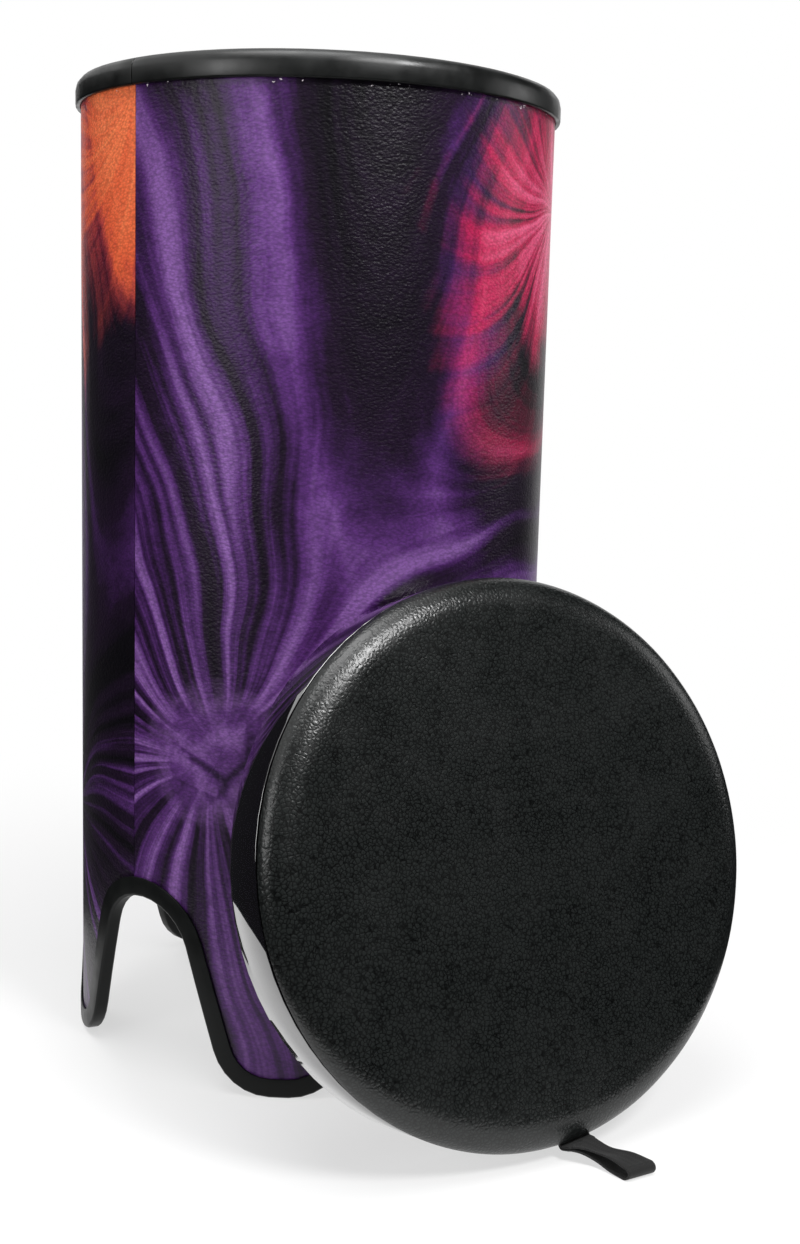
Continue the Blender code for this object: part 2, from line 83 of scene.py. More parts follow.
def mathNode(tree, operation, *values):
    node = addNode(tree, "ShaderNodeMath", operation=operation)
    for socket, value in zip(node.inputs, values):
        setOrLink(tree, socket, value)
    return node.outputs[0]


def plus(tree, first, second):
    return mathNode(tree, "ADD", first, second)


def minus(tree, first, second):
    return mathNode(tree, "SUBTRACT", first, second)


def times(tree, first, second):
    return mathNode(tree, "MULTIPLY", first, second)


def smoothStep(tree, value, low, high, outLow=0.0, outHigh=1.0):
    node = addNode(tree, "ShaderNodeMapRange", interpolation_type="SMOOTHSTEP")
    for name, number in (("From Min", low), ("From Max", high), ("To Min", outLow), ("To Max", outHigh)):
        node.inputs[name].default_value = number
    tree.links.new(value, node.inputs["Value"])
    return node.outputs["Result"]


def joinXyz(tree, x, y, z=0.0):
    node = tree.nodes.new("ShaderNodeCombineXYZ")
    for socket, value in zip(node.inputs, (x, y, z)):
        setOrLink(tree, socket, value)
    return node.outputs[0]


def rampNode(tree, factor, stops):
    ramp = tree.nodes.new("ShaderNodeValToRGB")
    while len(ramp.color_ramp.elements) < len(stops):
        ramp.color_ramp.elements.new(0.5)
    for element, (place, colour) in zip(ramp.color_ramp.elements, stops):
        element.position = place
        element.color = (*colour, 1.0)
    tree.links.new(factor, ramp.inputs["Fac"])
    return ramp.outputs["Color"]


def mixColour(tree, factor, first, second, blend="MIX"):
    node = addNode(tree, "ShaderNodeMix", data_type="RGBA", blend_type=blend)
    for name, value in (("Factor", factor), ("A", first), ("B", second)):
        setOrLink(tree, node.inputs[name], value)
    return node.outputs["Result"]


def blendValues(tree, factor, first, second):
    node = tree.nodes.new("ShaderNodeMix")
    for name, value in (("Factor", factor), ("A", first), ("B", second)):
        setOrLink(tree, node.inputs[name], value)
    return node.outputs["Result"]


def bumpNode(tree, height, distance, strength):
    node = addNode(tree, "ShaderNodeBump", in_Distance=distance, in_Strength=strength)
    tree.links.new(height, node.inputs["Height"])
    return node.outputs["Normal"]


def noiseNode(tree, vector, scale, detail=4.0, roughness=0.5, output="Fac"):
    node = addNode(tree, "ShaderNodeTexNoise", in_Scale=scale, in_Detail=detail, in_Roughness=roughness)
    tree.links.new(vector, node.inputs["Vector"])
    return node.outputs[output]


def cellNode(tree, vector, scale, feature="DISTANCE_TO_EDGE"):
    node = addNode(tree, "ShaderNodeTexVoronoi", feature=feature, in_Scale=scale)
    tree.links.new(vector, node.inputs["Vector"])
    return node.outputs["Distance"]


def splitXyz(tree, vector):
    node = tree.nodes.new("ShaderNodeSeparateXYZ")
    tree.links.new(vector, node.inputs[0])
    return node.outputs


def objectPlace(tree):
    return tree.nodes.new("ShaderNodeTexCoord").outputs["Object"]


def pieceMap(tree, name):
    # A piece's own map, whole and split in two
    place = addNode(tree, "ShaderNodeUVMap", uv_map=name).outputs["UV"]
    parts = splitXyz(tree, place)
    return place, parts["X"], parts["Y"]


# Helpers for pieces

def deselectAll():
    if bpy.context.mode != "OBJECT":
        bpy.ops.object.mode_set(mode="OBJECT")
    bpy.ops.object.select_all(action="DESELECT")


def makeActive(piece):
    deselectAll()
    piece.select_set(True)
    bpy.context.view_layer.objects.active = piece


def applyModifiers(piece):
    makeActive(piece)
    for modifier in list(piece.modifiers):
        bpy.ops.object.modifier_apply(modifier=modifier.name)


def finishPiece(piece, material, body, replaced, smooth=35.0):
    makeActive(piece)
    bpy.ops.object.transform_apply(location=True, rotation=True, scale=True)
    bpy.ops.object.shade_smooth_by_angle(angle=math.radians(smooth))
    piece.data.materials.clear()
    piece.data.materials.append(material)
    if body is not None:
        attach(piece, body)
    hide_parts(*replaced)


def copyNode(nodeName, pieceName, bevel=0.0):
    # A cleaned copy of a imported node: its loose triangles are joined and its flat faces merged
    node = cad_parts[nodeName]
    piece = bpy.data.objects.new(pieceName, node.data.copy())
    bpy.context.scene.collection.objects.link(piece)
    packedNormals = piece.data.attributes.get("custom_normal")
    if packedNormals is not None:
        piece.data.attributes.remove(packedNormals)
    makeActive(piece)
    bpy.ops.object.mode_set(mode="EDIT")
    bpy.ops.mesh.select_all(action="SELECT")
    bpy.ops.mesh.remove_doubles(threshold=0.00002)
    bpy.ops.mesh.dissolve_limited(angle_limit=math.radians(0.5))
    bpy.ops.mesh.normals_make_consistent(inside=False)
    bpy.ops.object.mode_set(mode="OBJECT")
    if bevel > 0.0:
        rounding = piece.modifiers.new("edgeRound", "BEVEL")
        rounding.width = bevel
        rounding.segments = 2
        rounding.limit_method = "ANGLE"
        rounding.angle_limit = math.radians(40.0)
        applyModifiers(piece)
    return piece


# Camera, at the photo's viewing angle

camera = {
    "place": (-0.4998, -0.8694, 0.4323),
    "azimuth": 30.49,
    "pitch": 8.72,
    "roll": 1.57,
    "lens": 46.42,
    "sensor": 36.0,
}


def addCamera(settings):
    data = bpy.data.cameras.new("photoCamera")
    data.sensor_width = settings["sensor"]
    data.lens = settings["lens"]
    data.clip_start = 0.01
    eye = bpy.data.objects.new("photoCamera", data)
    bpy.context.scene.collection.objects.link(eye)
    turn = Matrix.Rotation(math.radians(-settings["azimuth"]), 4, "Z")
    tilt = Matrix.Rotation(math.radians(90.0 - settings["pitch"]), 4, "X")
    roll = Matrix.Rotation(math.radians(settings["roll"]), 4, "Z")
    eye.matrix_world = Matrix.Translation(settings["place"]) @ turn @ tilt @ roll
    bpy.context.scene.camera = eye


addCamera(camera)
print("camera placed")


# Light, world and floor

light = {
    "worldLit": 0.34,
    "lamps": (
        # name, place, size, power and whether gloss mirrors it
        ("topBox", (-0.45, -0.35, 2.10), 1.20, 21.0, True),
        ("keyBox", (0.20, -1.44, 1.80), 0.60, 34.0, True),
        ("leftBox", (-2.10, -0.70, 1.00), 0.90, 10.0, True),
        ("rightBox", (2.10, -0.60, 0.90), 0.90, 4.5, True),
        ("backBox", (-0.30, 2.30, 1.50), 1.20, 18.0, False),
    ),
    "aim": (0.0, 0.0, 0.3),
    "floorSize": 7.0,
    "floorTone": 0.86,
    "floorGlow": 0.60,
    "fadeStart": 0.30,
    "fadeEnd": 0.85,
    "roomRadius": 3.2,
    "nearFloor": 0.34,
    "aboveFloor": 0.0008,
    "roomColour": (0.012, 0.012, 0.0132),
    # The dark room's walls: from one turn to another past +Y, and the height
    "walls": ((62.0, 250.0, 7.0), (250.0, 360.0, 1.6)),
}


def addLamps(settings):
    for name, place, size, power, mirrored in settings["lamps"]:
        data = bpy.data.lights.new(name, "AREA")
        data.shape = "DISK"
        data.size = size
        data.energy = power
        lamp = bpy.data.objects.new(name, data)
        bpy.context.scene.collection.objects.link(lamp)
        lamp.location = place
        aim = Vector(settings["aim"]) - Vector(place)
        lamp.rotation_euler = aim.to_track_quat("-Z", "Y").to_euler()
        lamp.visible_glossy = mirrored


def seenDirectly(tree):
    # 1 for rays that show the backdrop: camera, glossy and transmission
    path = tree.nodes.new("ShaderNodeLightPath")
    first = mathNode(tree, "MAXIMUM", path.outputs["Is Camera Ray"], path.outputs["Is Glossy Ray"])
    return mathNode(tree, "MAXIMUM", first, path.outputs["Is Transmission Ray"])


def addWorld(settings):
    world = bpy.data.worlds.new("studio")
    world.use_nodes = True
    bpy.context.scene.world = world
    tree = world.node_tree
    back = tree.nodes["Background"]
    back.inputs["Color"].default_value = (1.0, 1.0, 1.0, 1.0)
    lit = settings["worldLit"]
    share = times(tree, seenDirectly(tree), 1.0 - lit)
    strength = plus(tree, share, lit)
    tree.links.new(strength, back.inputs["Strength"])


def addFloor(settings):
    deselectAll()
    bpy.ops.mesh.primitive_circle_add(vertices=96, radius=settings["floorSize"], fill_type="NGON")
    floor = bpy.context.active_object
    floor.name = "studioFloor"
    material, tree, shader = newMaterial("paleFloor")
    tone = settings["floorTone"]
    shader.inputs["Base Color"].default_value = (tone, tone, tone, 1.0)
    shader.inputs["Roughness"].default_value = 0.9
    shader.inputs["Specular IOR Level"].default_value = 0.0
    place = objectPlace(tree)
    radius = addNode(tree, "ShaderNodeVectorMath", operation="LENGTH")
    tree.links.new(place, radius.inputs[0])
    distance = radius.outputs["Value"]
    fade = smoothStep(tree, distance, settings["fadeStart"], settings["fadeEnd"], settings["floorGlow"])
    glow = tree.nodes.new("ShaderNodeEmission")
    mix = tree.nodes.new("ShaderNodeMixShader")
    tree.links.new(times(tree, fade, seenDirectly(tree)), mix.inputs["Fac"])
    tree.links.new(shader.outputs["BSDF"], mix.inputs[1])
    tree.links.new(glow.outputs["Emission"], mix.inputs[2])
    tree.links.new(mix.outputs["Shader"], tree.nodes["Material Output"].inputs["Surface"])
    floor.data.materials.append(material)


def darkStrip(name, firstLine, secondLine, material):
    # A strip between two lines, which only reflections see
    mesh = bmesh.new()
    first = [mesh.verts.new(spot) for spot in firstLine]
    second = [mesh.verts.new(spot) for spot in secondLine]
    for i in range(len(first) - 1):
        mesh.faces.new((first[i], first[i + 1], second[i + 1], second[i]))
    data = bpy.data.meshes.new(name)
    mesh.to_mesh(data)
    mesh.free()
    strip = bpy.data.objects.new(name, data)
    bpy.context.scene.collection.objects.link(strip)
    data.materials.append(material)
    strip.visible_camera = False
    strip.visible_diffuse = False
    strip.visible_shadow = False
    strip.visible_transmission = False


def turnLine(radius, height, start, end):
    # Points on a circle round the stand, from one turn to another past +Y
    steps = 32
    line = []
    for i in range(steps + 1):
        turn = math.radians(start + (end - start) * i / steps)
        line.append((radius * math.sin(turn), radius * math.cos(turn), height))
    return line


def addRoom(settings):
    # The dark room beside and before the pale backdrop, and its floor round the white sheet
    material, tree = newMaterial("roomDark")[:2]
    glow = addNode(tree, "ShaderNodeEmission", in_Color=(*settings["roomColour"], 1.0))
    tree.links.new(glow.outputs["Emission"], tree.nodes["Material Output"].inputs["Surface"])
    radius = settings["roomRadius"]
    level = settings["aboveFloor"]
    for number, (start, end, height) in enumerate(settings["walls"]):
        foot = turnLine(radius, 0.0, start, end)
        darkStrip(f"darkWall{number}", foot, turnLine(radius, height, start, end), material)
        near = turnLine(settings["nearFloor"], level, start, end)
        darkStrip(f"darkFloor{number}", near, turnLine(radius, level, start, end), material)


addLamps(light)
addWorld(light)
addFloor(light)
addRoom(light)
bpy.context.scene.view_settings.view_transform = "Standard"
print("light, world and floor ready")


# The printed wrap: a tie-dyed cloth look, laid out on the sheet rolled flat.
# A place on it is the metres round from the seam and the metres up.

wrap = {
    "radius": 0.150,
    "seamTurn": -71.8,
    # Big knots: place, how their strands lean on the left and on the right, and a seed
    "violetKnots": (
        ((0.066, 0.205), (-0.9, 1.6), 0.0),
        ((0.560, 0.300), (-2.5, 2.0), 3.7),
        ((0.840, 0.150), (-1.5, 1.0), 8.2),
    ),
    "knotJoins": ((0.34, 0.46), (0.70, 0.80)),  # metres round, from one knot's strands to the next one's
    # Warm knots: place, reach, lean, the tones from their edge to their middle, and a seed
    "hotKnots": (
        ((0.318, 0.528), 0.122, 2.0, ("night", "crimson", "pink"), 12.0),
        ((0.690, 0.500), 0.125, -8.0, ("night", "crimson", "pink"), 15.0),
        ((0.925, 0.585), 0.120, 4.0, ("crimson", "orange", "amber"), 18.0),
        ((0.470, 0.110), 0.085, 8.0, ("night", "crimson", "orange"), 21.0),
    ),
    # Pools of dark dye: place, radii and depth
    "darkPools": (
        ((0.145, 0.540), (0.045, 0.100), 0.19),
        ((0.155, 0.435), (0.050, 0.075), 0.22),
        ((0.108, 0.360), (0.020, 0.070), 0.11),
        ((0.268, 0.395), (0.060, 0.055), 0.20),
        ((0.232, 0.255), (0.012, 0.060), 0.12),
        ((0.890, 0.330), (0.090, 0.200), 0.17),
        ((0.905, 0.100), (0.060, 0.150), 0.16),
        ((0.450, 0.430), (0.055, 0.130), 0.20),
        ((0.770, 0.330), (0.055, 0.160), 0.20),
    ),
    "palePool": ((0.055, 0.470), (0.040, 0.130), 0.10),
    # Layers of strands: how many round a knot, how fast they change along, detail, roughness, share
    "strandLayers": (
        (2.6, 2.2, 1.0, 0.40, 0.36),
        (8.5, 2.0, 1.5, 0.50, 0.72),
        (19.0, 3.2, 2.0, 0.55, 0.36),
        (60.0, 5.0, 3.0, 0.60, 0.15),
    ),
    "strandLevel": -0.305,
    "leanFrom": 0.15,
    "leanTo": 0.80,
    "wander": 0.085,
    "wanderScale": 6.0,
    "mottle": 0.10,
    "mottleScale": 70.0,
    "ringRadius": 0.043,
    "ringUneven": 0.045,
    "ringShare": 0.42,
    "veinScale": 26.0,
    "wobbleScale": 42.0,
    "black": (0.0016, 0.0008, 0.0028),
    "night": (0.0095, 0.0022, 0.0150),
    "violetDeep": (0.030, 0.0055, 0.056),
    "violet": (0.068, 0.0165, 0.122),
    "violetPale": (0.170, 0.0720, 0.260),
    "crimson": (0.350, 0.0040, 0.052),
    "pink": (0.680, 0.110, 0.230),
    "orange": (0.640, 0.090, 0.030),
    "amber": (0.780, 0.190, 0.065),
    "paper": (0.62, 0.56, 0.60),
    "groundDyes": (
        (0.24, "black"), (0.40, "night"), (0.47, "violetDeep"), (0.54, "violet"), (0.66, "violetPale"),
    ),
    "knotDyes": ((0.08, "black"), (0.34, "violetDeep"), (0.56, "violet"), (0.78, "violetPale")),
    "warmStops": (0.38, 0.52, 0.76),
    "chipFrom": 0.5850,
    "chipTo": 0.5925,
    "chipScale": 260.0,
    "emboss": 700.0,
    "embossStretch": 0.62,
    "embossDepth": 0.00026,
    # Colour factors on the emboss's hollows and high spots: painted shade and painted highlight
    "hollowShade": 0.76,
    "highSpotHighlight": 1.22,
    "roughness": 0.37,
    "specular": 0.36,
    "sheen": 0.04,
    "sheenRoughness": 0.30,
}


def poleAngle(tree, across, up, centre):
    # The angle round a tied knot and the distance from it
    x = minus(tree, across, centre[0])
    y = minus(tree, up, centre[1])
    squares = plus(tree, times(tree, x, x), times(tree, y, y))
    return mathNode(tree, "ARCTAN2", y, x), mathNode(tree, "SQRT", squares)


def streakField(tree, settings, across, up, knot, swirl, seed):
    # Strands that fan out of a knot and lean over with the distance from it,
    # by one swirl on its left and another on its right
    angle, far = poleAngle(tree, across, up, knot)
    lean = smoothStep(tree, mathNode(tree, "COSINE", angle), settings["leanFrom"], settings["leanTo"], *swirl)
    flow = plus(tree, angle, times(tree, far, lean))
    cosine = mathNode(tree, "COSINE", flow)
    sine = mathNode(tree, "SINE", flow)
    tones = settings["strandLevel"]
    for spread, run, detail, roughness, share in settings["strandLayers"]:
        along = plus(tree, times(tree, far, run), seed)
        place = joinXyz(tree, times(tree, cosine, spread), times(tree, sine, spread), along)
        layer = noiseNode(tree, place, 1.0, detail, roughness)
        tones = plus(tree, times(tree, layer, share), tones)
    return tones, far


def softOval(tree, across, up, centre, radii, depth):
    # The depth inside a soft oval, 0 outside
    x = mathNode(tree, "DIVIDE", minus(tree, across, centre[0]), radii[0])
    y = mathNode(tree, "DIVIDE", minus(tree, up, centre[1]), radii[1])
    squares = plus(tree, times(tree, x, x), times(tree, y, y))
    return smoothStep(tree, squares, 0.1, 2.0, depth, 0.0)


def dyeRamp(tree, factor, settings, stops):
    return rampNode(tree, factor, [(place, settings[dye]) for place, dye in stops])


def wanderSheet(tree, settings, sheet, across, up):
    # Lets the dye wander a little off the drawn places
    drift = splitXyz(tree, noiseNode(tree, sheet, settings["wanderScale"], 1.5, 0.40, "Color"))
    moved = []
    for value, side in ((across, "X"), (up, "Y")):
        shift = times(tree, minus(tree, drift[side], 0.5), settings["wander"])
        moved.append(plus(tree, value, shift))
    return moved


def violetStrands(tree, settings, across, softX, softY):
    # The strands of the big knots, and the distance from the front one
    fields = [streakField(tree, settings, softX, softY, *knot) for knot in settings["violetKnots"]]
    streaks, frontFar = fields[0]
    for (low, high), field in zip(settings["knotJoins"], fields[1:]):
        streaks = blendValues(tree, smoothStep(tree, across, low, high), streaks, field[0])
    return streaks, frontFar


def groundDye(tree, settings, sheet, softX, softY, streaks):
    # The strands' own dyes, darker and paler in places, with a fine mottle
    pools = [softOval(tree, softX, softY, *pool) for pool in settings["darkPools"]]
    deepest = pools[0]
    for pool in pools[1:]:
        deepest = mathNode(tree, "MAXIMUM", deepest, pool)
    ground = minus(tree, streaks, deepest)
    ground = plus(tree, ground, softOval(tree, softX, softY, *settings["palePool"]))
    mottle = minus(tree, noiseNode(tree, sheet, settings["mottleScale"], 5.0, 0.6), 0.5)
    ground = plus(tree, ground, times(tree, mottle, settings["mottle"]))
    return dyeRamp(tree, ground, settings, settings["groundDyes"])


def dyeKnot(tree, settings, across, up, far, wobble, colour):
    # The tied knot: an uneven pale ring round mottled cloth with a few branching creases
    radius = settings["ringRadius"]
    ringFar = plus(tree, far, times(tree, minus(tree, wobble, 0.5), settings["ringUneven"]))
    inside = smoothStep(tree, ringFar, radius + 0.006, radius - 0.016)
    veinPlace = joinXyz(tree, across, up, times(tree, wobble, 0.03))
    vein = smoothStep(tree, cellNode(tree, veinPlace, settings["veinScale"]), 0.0, 0.11, 0.35, 1.0)
    deep = smoothStep(tree, ringFar, 0.75 * radius, 0.2 * radius, 1.0, 0.0)
    shade = times(tree, mathNode(tree, "MAXIMUM", vein, deep), plus(tree, wobble, 0.12))
    knotTone = dyeRamp(tree, shade, settings, settings["knotDyes"])
    colour = mixColour(tree, times(tree, inside, 0.9), colour, knotTone)
    offset = mathNode(tree, "ABSOLUTE", minus(tree, ringFar, radius))
    ring = smoothStep(tree, offset, 0.011, 0.001, 0.0, settings["ringShare"])
    return mixColour(tree, times(tree, ring, wobble), colour, settings["violetPale"])


def warmDye(tree, settings, softX, softY, streaks, colour):
    # Warm knots, each with its own short streaks
    for place, reach, swirl, tones, seed in settings["hotKnots"]:
        streak, far = streakField(tree, settings, softX, softY, place, (swirl, swirl), seed)
        mixed = blendValues(tree, smoothStep(tree, far, reach, 0.3 * reach, 0.15, 0.60), streaks, streak)
        edge = minus(tree, far, times(tree, minus(tree, mixed, 0.48), 0.32))
        share = smoothStep(tree, edge, 1.10 * reach, 0.50 * reach)
        heat = plus(tree, mixed, smoothStep(tree, far, reach, 0.0, -0.06, 0.20))
        tone = dyeRamp(tree, heat, settings, zip(settings["warmStops"], tones))
        colour = mixColour(tree, share, colour, tone)
    return colour


def chipPrint(tree, settings, sheet, up, colour):
    # Small pale chips where the rim's lip has rubbed the print off the sheet's edge
    chips = noiseNode(tree, sheet, settings["chipScale"], 2.0, 0.6)
    reach = smoothStep(tree, up, settings["chipFrom"], settings["chipTo"], 0.0, 0.16)
    chipped = smoothStep(tree, plus(tree, chips, reach), 0.80, 0.83)
    return mixColour(tree, chipped, colour, settings["paper"])


def makeWrapMaterial(settings):
    material, tree, shader = newMaterial("tieDyePrint")
    sheet, across, up = pieceMap(tree, "sheetMap")
    softX, softY = wanderSheet(tree, settings, sheet, across, up)
    streaks, frontFar = violetStrands(tree, settings, across, softX, softY)
    colour = groundDye(tree, settings, sheet, softX, softY, streaks)
    wobble = noiseNode(tree, sheet, settings["wobbleScale"])
    colour = dyeKnot(tree, settings, softX, softY, frontFar, wobble, colour)
    colour = warmDye(tree, settings, softX, softY, streaks, colour)
    colour = chipPrint(tree, settings, sheet, up, colour)

    # Cloth-like embossing, with painted shade in its hollows and a painted highlight on its high spots
    cloth = joinXyz(tree, times(tree, across, settings["embossStretch"]), up)
    grain = noiseNode(tree, cloth, 0.8 * settings["emboss"], 4.0, 0.65)
    pebbles = cellNode(tree, cloth, settings["emboss"], "F1")
    height = minus(tree, grain, times(tree, pebbles, 0.75))
    reliefShading = smoothStep(tree, height, -0.25, 0.45, settings["hollowShade"], settings["highSpotHighlight"])
    colour = mixColour(tree, 1.0, colour, joinXyz(tree, reliefShading, reliefShading, reliefShading), "MULTIPLY")
    tree.links.new(colour, shader.inputs["Base Color"])
    tree.links.new(bumpNode(tree, height, settings["embossDepth"], 0.9), shader.inputs["Normal"])
    shader.inputs["Roughness"].default_value = settings["roughness"]
    shader.inputs["Specular IOR Level"].default_value = settings["specular"]
    shader.inputs["Sheen Weight"].default_value = settings["sheen"]
    shader.inputs["Sheen Roughness"].default_value = settings["sheenRoughness"]
    return material


def mapSheet(piece, settings):
    # Unrolls the sheet onto its map
    low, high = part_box("rim_trim")
    shellX = 0.5 * (low.x + high.x)
    shellY = 0.5 * (low.y + high.y)
    mesh = piece.data
    while mesh.uv_layers:
        mesh.uv_layers.remove(mesh.uv_layers[0])
    layer = mesh.uv_layers.new(name="sheetMap")
    seam = math.radians(settings["seamTurn"])
    full = 2.0 * math.pi
    for face in mesh.polygons:
        middle = (math.atan2(face.center.x - shellX, shellY - face.center.y) - seam) % full
        for index in face.loop_indices:
            spot = mesh.vertices[mesh.loops[index].vertex_index].co
            turn = (math.atan2(spot.x - shellX, shellY - spot.y) - seam) % full
            if turn - middle > math.pi:
                turn -= full
            if middle - turn > math.pi:
                turn += full
            layer.data[index].uv = (turn * settings["radius"], spot.z)


def dressWrap(settings):
    piece = copyNode("wrap_sheet", "printedWrap")
    finishPiece(piece, makeWrapMaterial(settings), "shell", ("wrap_sheet",))
    mapSheet(piece, settings)


dressWrap(wrap)
print("printed wrap ready")


# Rubber channels on the rim and the legs

rubber = {
    "colour": (0.0048, 0.0054, 0.0052),
    "roughness": 0.36,
    "cloudScale": 60.0,
    "grainScale": 900.0,
    "grainDepth": 0.00004,
    "rimGloss": 0.50,
    "legGloss": 0.16,
    "rimRound": 0.0005,
    "legRound": 0.0004,
}


def makeRubberMaterial(name, settings, gloss):
    material, tree, shader = newMaterial(name)
    place = objectPlace(tree)
    cloud = noiseNode(tree, place, settings["cloudScale"], 3.0)
    roughness = settings["roughness"]
    worn = smoothStep(tree, cloud, 0.2, 0.8, roughness - 0.08, roughness + 0.10)
    tree.links.new(worn, shader.inputs["Roughness"])
    dark = tuple(0.8 * part for part in settings["colour"])
    pale = tuple(1.5 * part for part in settings["colour"])
    tree.links.new(rampNode(tree, cloud, [(0.3, dark), (0.8, pale)]), shader.inputs["Base Color"])
    grain = noiseNode(tree, place, settings["grainScale"], 2.0)
    tree.links.new(bumpNode(tree, grain, settings["grainDepth"], 0.5), shader.inputs["Normal"])
    shader.inputs["Specular IOR Level"].default_value = gloss
    return material


def dressRubber(settings):
    for nodeName, pieceName, part in (("rim_trim", "rimRubber", "rim"), ("leg_trim", "legRubber", "leg")):
        piece = copyNode(nodeName, pieceName, settings[part + "Round"])
        finish = makeRubberMaterial(pieceName, settings, settings[part + "Gloss"])
        finishPiece(piece, finish, "shell", (nodeName,))


dressRubber(rubber)
print("rubber channels ready")


# Head: where it leans, its gloss band and its leather skin

head = {
    "lean": 15.06,  # degrees of its axis above level
    "bandDepth": 0.0326,
}

band = {
    "colour": (0.004, 0.0035, 0.005),
    "roughness": 0.03,
    "bend": 1.9,  # index of refraction of the deep gloss
    "cloudScale": 25.0,
    "waveScale": 45.0,
    "waveDepth": 0.0004,
    "smooth": 50.0,
}


def headPlace(settings):
    # The head's own axes: its face looks along local +Z, and the band's front plane is at 0
    low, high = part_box("head_band")
    middle = Vector((0.5 * (low.x + high.x), 0.5 * (low.y + high.y), 0.5 * (low.z + high.z)))
    lean = math.radians(settings["lean"])
    normal = Vector((0.0, -math.cos(lean), math.sin(lean)))
    up = Vector((0.0, math.sin(lean), math.cos(lean)))
    axes = Matrix((Vector((1.0, 0.0, 0.0)), up, normal)).transposed().to_4x4()
    return Matrix.Translation(middle + normal * (0.5 * settings["bandDepth"])) @ axes


def makeGlossMaterial(settings):
    material, tree, shader = newMaterial("glossBlack")
    place = objectPlace(tree)
    roughness = settings["roughness"]
    cloud = noiseNode(tree, place, settings["cloudScale"], 4.0, 0.6)
    tree.links.new(smoothStep(tree, cloud, 0.3, 0.8, roughness, roughness + 0.05), shader.inputs["Roughness"])
    wave = noiseNode(tree, place, settings["waveScale"], 2.0, 0.4)
    tree.links.new(bumpNode(tree, wave, settings["waveDepth"], 0.12), shader.inputs["Normal"])
    shader.inputs["Base Color"].default_value = (*settings["colour"], 1.0)
    shader.inputs["IOR"].default_value = settings["bend"]
    shader.inputs["Coat Weight"].default_value = 1.0
    shader.inputs["Coat IOR"].default_value = settings["bend"]
    shader.inputs["Coat Roughness"].default_value = roughness
    return material


def dressBand(settings):
    ring = copyNode("head_band", "glossBand")
    finishPiece(ring, makeGlossMaterial(settings), "head", ("head_band",), settings["smooth"])


skin = {
    "steps": 192,
    "outer": 0.1611,
    "rise": 0.0140,
    "shoulderWidth": 0.0200,
    "shoulderHeight": 0.0130,
    "edge": 0.0037,
    "wall": 0.0012,
    "shoulderSteps": 18,
    "faceRings": (0.0, 0.020, 0.040, 0.060, 0.080, 0.100, 0.118, 0.130, 0.137),
    "ripple": 0.00030,
    "rippleScale": 0.035,
    "colour": (0.0006, 0.0008, 0.0008),
    # The lighter colour is a painted highlight on the pebbles' tops, not wear
    "litPebbleColour": (0.0098, 0.0116, 0.0112),
    "roughness": 0.30,
    "specular": 0.50,
    "pebble": 425.0,
    "creaseShare": 0.20,  # of the pebbles' number to a metre
    "bentScale": 90.0,
    "broadScale": 40.0,
    "grainDepth": 0.00015,
}


def makeLeatherMaterial(settings):
    # Small pebbles between fine creases, a few longer creases, and a broad unevenness
    material, tree, shader = newMaterial("blackLeather")
    place = objectPlace(tree)
    bent = noiseNode(tree, place, settings["bentScale"], 3.0, 0.5, "Color")
    cells = cellNode(tree, mixColour(tree, 0.0016, place, bent, "ADD"), settings["pebble"])
    pebbles = smoothStep(tree, cells, 0.0, 0.48)
    pebbleTops = smoothStep(tree, cells, 0.0, 0.20)
    creasePlace = mixColour(tree, 0.006, place, bent, "ADD")
    creaseCells = cellNode(tree, creasePlace, settings["creaseShare"] * settings["pebble"])
    creases = smoothStep(tree, creaseCells, 0.0, 0.08)
    broad = noiseNode(tree, place, settings["broadScale"], 2.0, 0.5)
    height = plus(tree, times(tree, pebbles, 0.70), times(tree, creases, 0.30))
    height = plus(tree, height, times(tree, broad, 0.60))
    tree.links.new(bumpNode(tree, height, settings["grainDepth"], 0.9), shader.inputs["Normal"])
    # The colour is painted light and shade: a painted highlight on the pebbles' tops, painted shade in the
    # fine creases, and a broad random unevenness
    tone = plus(tree, times(tree, pebbleTops, 0.70), times(tree, creases, 0.11))
    tone = plus(tree, tone, times(tree, broad, 0.18))
    stops = [(0.10, settings["colour"]), (0.85, settings["litPebbleColour"])]
    tree.links.new(rampNode(tree, tone, stops), shader.inputs["Base Color"])
    roughness = settings["roughness"]
    worn = smoothStep(tree, broad, 0.25, 0.75, roughness - 0.03, roughness + 0.05)
    tree.links.new(worn, shader.inputs["Roughness"])
    shader.inputs["Specular IOR Level"].default_value = settings["specular"]
    return material


def ringProfile(settings):
    # Radius and height from the middle of the face, over the shoulder, to the rear edge
    points = [(radius, settings["rise"]) for radius in settings["faceRings"][1:]]
    centreX = settings["outer"] - settings["shoulderWidth"]
    centreZ = settings["rise"] - settings["shoulderHeight"]
    low = math.asin((settings["edge"] - centreZ) / settings["shoulderHeight"])
    for i in range(settings["shoulderSteps"] + 1):
        angle = 0.5 * math.pi + (low - 0.5 * math.pi) * i / settings["shoulderSteps"]
        points.append((centreX + settings["shoulderWidth"] * math.cos(angle),
                       centreZ + settings["shoulderHeight"] * math.sin(angle)))
    return points


def selectRim(piece):
    # Selects the open edge ring while in edit mode
    mesh = bmesh.from_edit_mesh(piece.data)
    for edge in mesh.edges:
        edge.select = edge.is_boundary
    mesh.select_flush_mode()
    bmesh.update_edit_mesh(piece.data)


